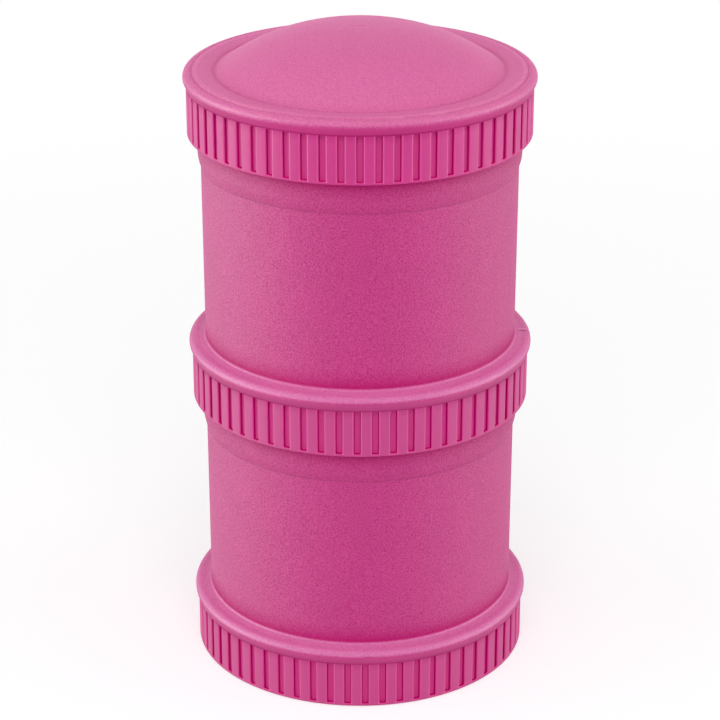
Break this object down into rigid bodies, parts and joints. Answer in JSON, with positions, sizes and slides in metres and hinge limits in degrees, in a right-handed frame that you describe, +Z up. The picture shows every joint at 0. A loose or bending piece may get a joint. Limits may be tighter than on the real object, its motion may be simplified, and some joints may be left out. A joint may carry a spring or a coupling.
{
  "type": "toddler snack container",
  "caption": "Stacking snack container: round cups whose ribbed screw rings join one on another, under a domed screw lid, for a toddler's dry snacks.",
  "frame": {"origin": "centre of the lowest ring's bottom edge, on the surface that the stack stands on", "axes": "+Z up along the stack's axis; -Y is the front, the side that faces the picture's camera"},
  "size_m": [0.089, 0.089, 0.1689],
  "materials": {
    "pod_plastic": "hot pink polyethylene, moulded: coarse pebble on the cup wall, fine satin on the ribbed ring and the neck",
    "lid_plastic": "hot pink polyethylene, moulded: fine pebble on the dome, satin on the rim and the ribbed ring"
  },
  "bodies": {
    "lower_pod": {"lower_pod": "pod_plastic"},
    "upper_pod": {"upper_pod": "pod_plastic"},
    "lid": {"lid": "lid_plastic"}
  },
  "joints": [
    {"name": "upper_pod_lift", "type": "slide", "parent": "lower_pod", "child": "upper_pod", "axis": [0, 0, 1], "range_m": [0, 0.09]},
    {"name": "lid_lift", "type": "slide", "parent": "upper_pod", "child": "lid", "axis": [0, 0, 1], "range_m": [0, 0.06]}
  ]
}
